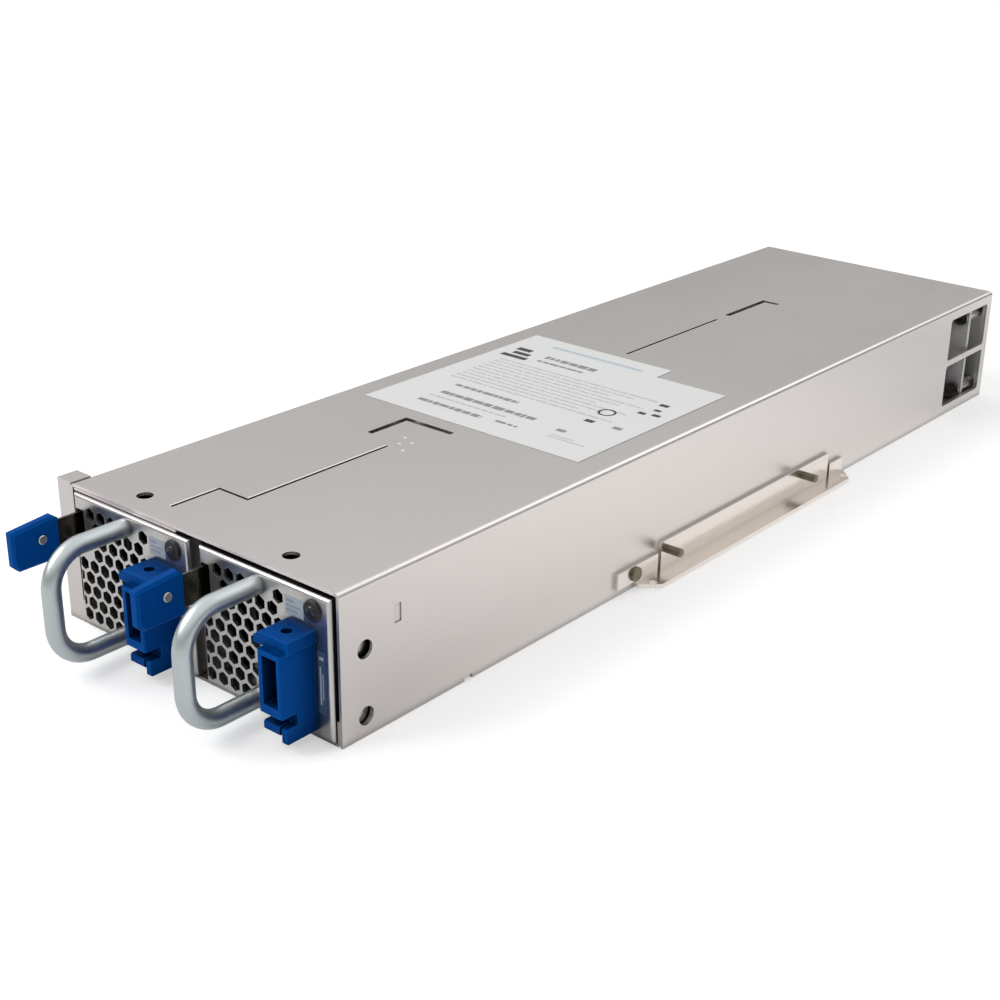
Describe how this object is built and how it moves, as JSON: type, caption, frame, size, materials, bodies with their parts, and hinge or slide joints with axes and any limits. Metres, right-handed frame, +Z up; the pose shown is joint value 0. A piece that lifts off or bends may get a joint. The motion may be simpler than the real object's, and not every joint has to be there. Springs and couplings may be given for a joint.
{
  "type": "redundant power supply",
  "caption": "Slim sheet-metal power supply cage with side-by-side hot-swap modules, each with a honeycomb front, rod handle, blue inlet, release tab and fan.",
  "frame": {"origin": "centre of the cage's bottom face", "axes": "+Z up, -Y towards the handles and out of the module bays, +X right seen from the front"},
  "size_m": [0.113, 0.3721, 0.0411],
  "materials": {
    "cage_sheet": "plated sheet, satin",
    "bracket_sheet": "plated sheet, bright",
    "module_sheet": "plated sheet, satin",
    "spring_steel": "polished spring strip",
    "handle_coat": "satin grey coat",
    "blue_plastic": "moulded, slight sheen",
    "black_plastic": "moulded",
    "lamp_lens": "smoky lens",
    "label_film": "printed film",
    "board": "green lacquered laminate",
    "contact_metal": "plated contact",
    "fastener": "zinc plated",
    "heat_sink": "extruded",
    "can_sleeve": "shrink sleeve",
    "winding_tape": "yellow tape and ferrite",
    "choke_wire": "lacquered wire on a ring core"
  },
  "bodies": {
    "cage": {"cage_wrap": "cage_sheet", "cage_base": "cage_sheet", "centre_partition": "cage_sheet", "rear_panel": "cage_sheet", "front_ear": "cage_sheet", "side_bracket": "bracket_sheet", "bracket_studs": "fastener", "bracket_screw": "fastener", "rating_label": "label_film", "backplane_board": "board", "backplane_sockets": "black_plastic", "output_headers": "black_plastic", "backplane_screws": "fastener"},
    "module_a": {"module_a_chassis": "module_sheet", "module_a_lid": "module_sheet", "module_a_lid_screws": "fastener", "module_a_front_plate": "module_sheet", "module_a_handle": "handle_coat", "module_a_handle_screws": "fastener", "module_a_inlet_housing": "blue_plastic", "module_a_inlet_pins": "contact_metal", "module_a_lamp_bezel": "black_plastic", "module_a_lamp_lens": "lamp_lens", "module_a_fan_frame": "black_plastic", "module_a_fan_screws": "fastener", "module_a_main_board": "board", "module_a_board_posts": "fastener", "module_a_transformer": "winding_tape", "module_a_capacitors": "can_sleeve", "module_a_heat_sinks": "heat_sink", "module_a_chokes": "choke_wire"},
    "latch_a": {"module_a_latch_spring": "spring_steel", "module_a_latch_rivets": "fastener", "module_a_release_tab": "blue_plastic", "module_a_tab_rivet": "fastener"},
    "fan_a": {"module_a_fan_rotor": "black_plastic"},
    "module_b": {"module_b_chassis": "module_sheet", "module_b_lid": "module_sheet", "module_b_lid_screws": "fastener", "module_b_front_plate": "module_sheet", "module_b_handle": "handle_coat", "module_b_handle_screws": "fastener", "module_b_inlet_housing": "blue_plastic", "module_b_inlet_pins": "contact_metal", "module_b_lamp_bezel": "black_plastic", "module_b_lamp_lens": "lamp_lens", "module_b_fan_frame": "black_plastic", "module_b_fan_screws": "fastener", "module_b_main_board": "board", "module_b_board_posts": "fastener", "module_b_transformer": "winding_tape", "module_b_capacitors": "can_sleeve", "module_b_heat_sinks": "heat_sink", "module_b_chokes": "choke_wire"},
    "latch_b": {"module_b_latch_spring": "spring_steel", "module_b_latch_rivets": "fastener", "module_b_release_tab": "blue_plastic", "module_b_tab_rivet": "fastener"},
    "fan_b": {"module_b_fan_rotor": "black_plastic"}
  },
  "joints": [
    {"name": "module_a_slide", "type": "slide", "parent": "cage", "child": "module_a", "axis": [0, -1, 0], "range_m": [0, 0.3]},
    {"name": "latch_a_flex", "type": "hinge", "parent": "module_a", "child": "latch_a", "pos_m": [-0.0466, -0.127, 0.0295], "axis": [0, 0, 1], "range_deg": [0, 2.5], "stiffness_Nm_per_rad": 1.9},
    {"name": "fan_a_spin", "type": "hinge", "parent": "module_a", "child": "fan_a", "pos_m": [-0.025, -0.147, 0.0201], "axis": [0, 1, 0], "continuous": true},
    {"name": "module_b_slide", "type": "slide", "parent": "cage", "child": "module_b", "axis": [0, -1, 0], "range_m": [0, 0.3]},
    {"name": "latch_b_flex", "type": "hinge", "parent": "module_b", "child": "latch_b", "pos_m": [0.0034, -0.127, 0.0295], "axis": [0, 0, 1], "range_deg": [0, 2.5], "stiffness_Nm_per_rad": 1.9},
    {"name": "fan_b_spin", "type": "hinge", "parent": "module_b", "child": "fan_b", "pos_m": [0.025, -0.147, 0.0201], "axis": [0, 1, 0], "continuous": true}
  ]
}
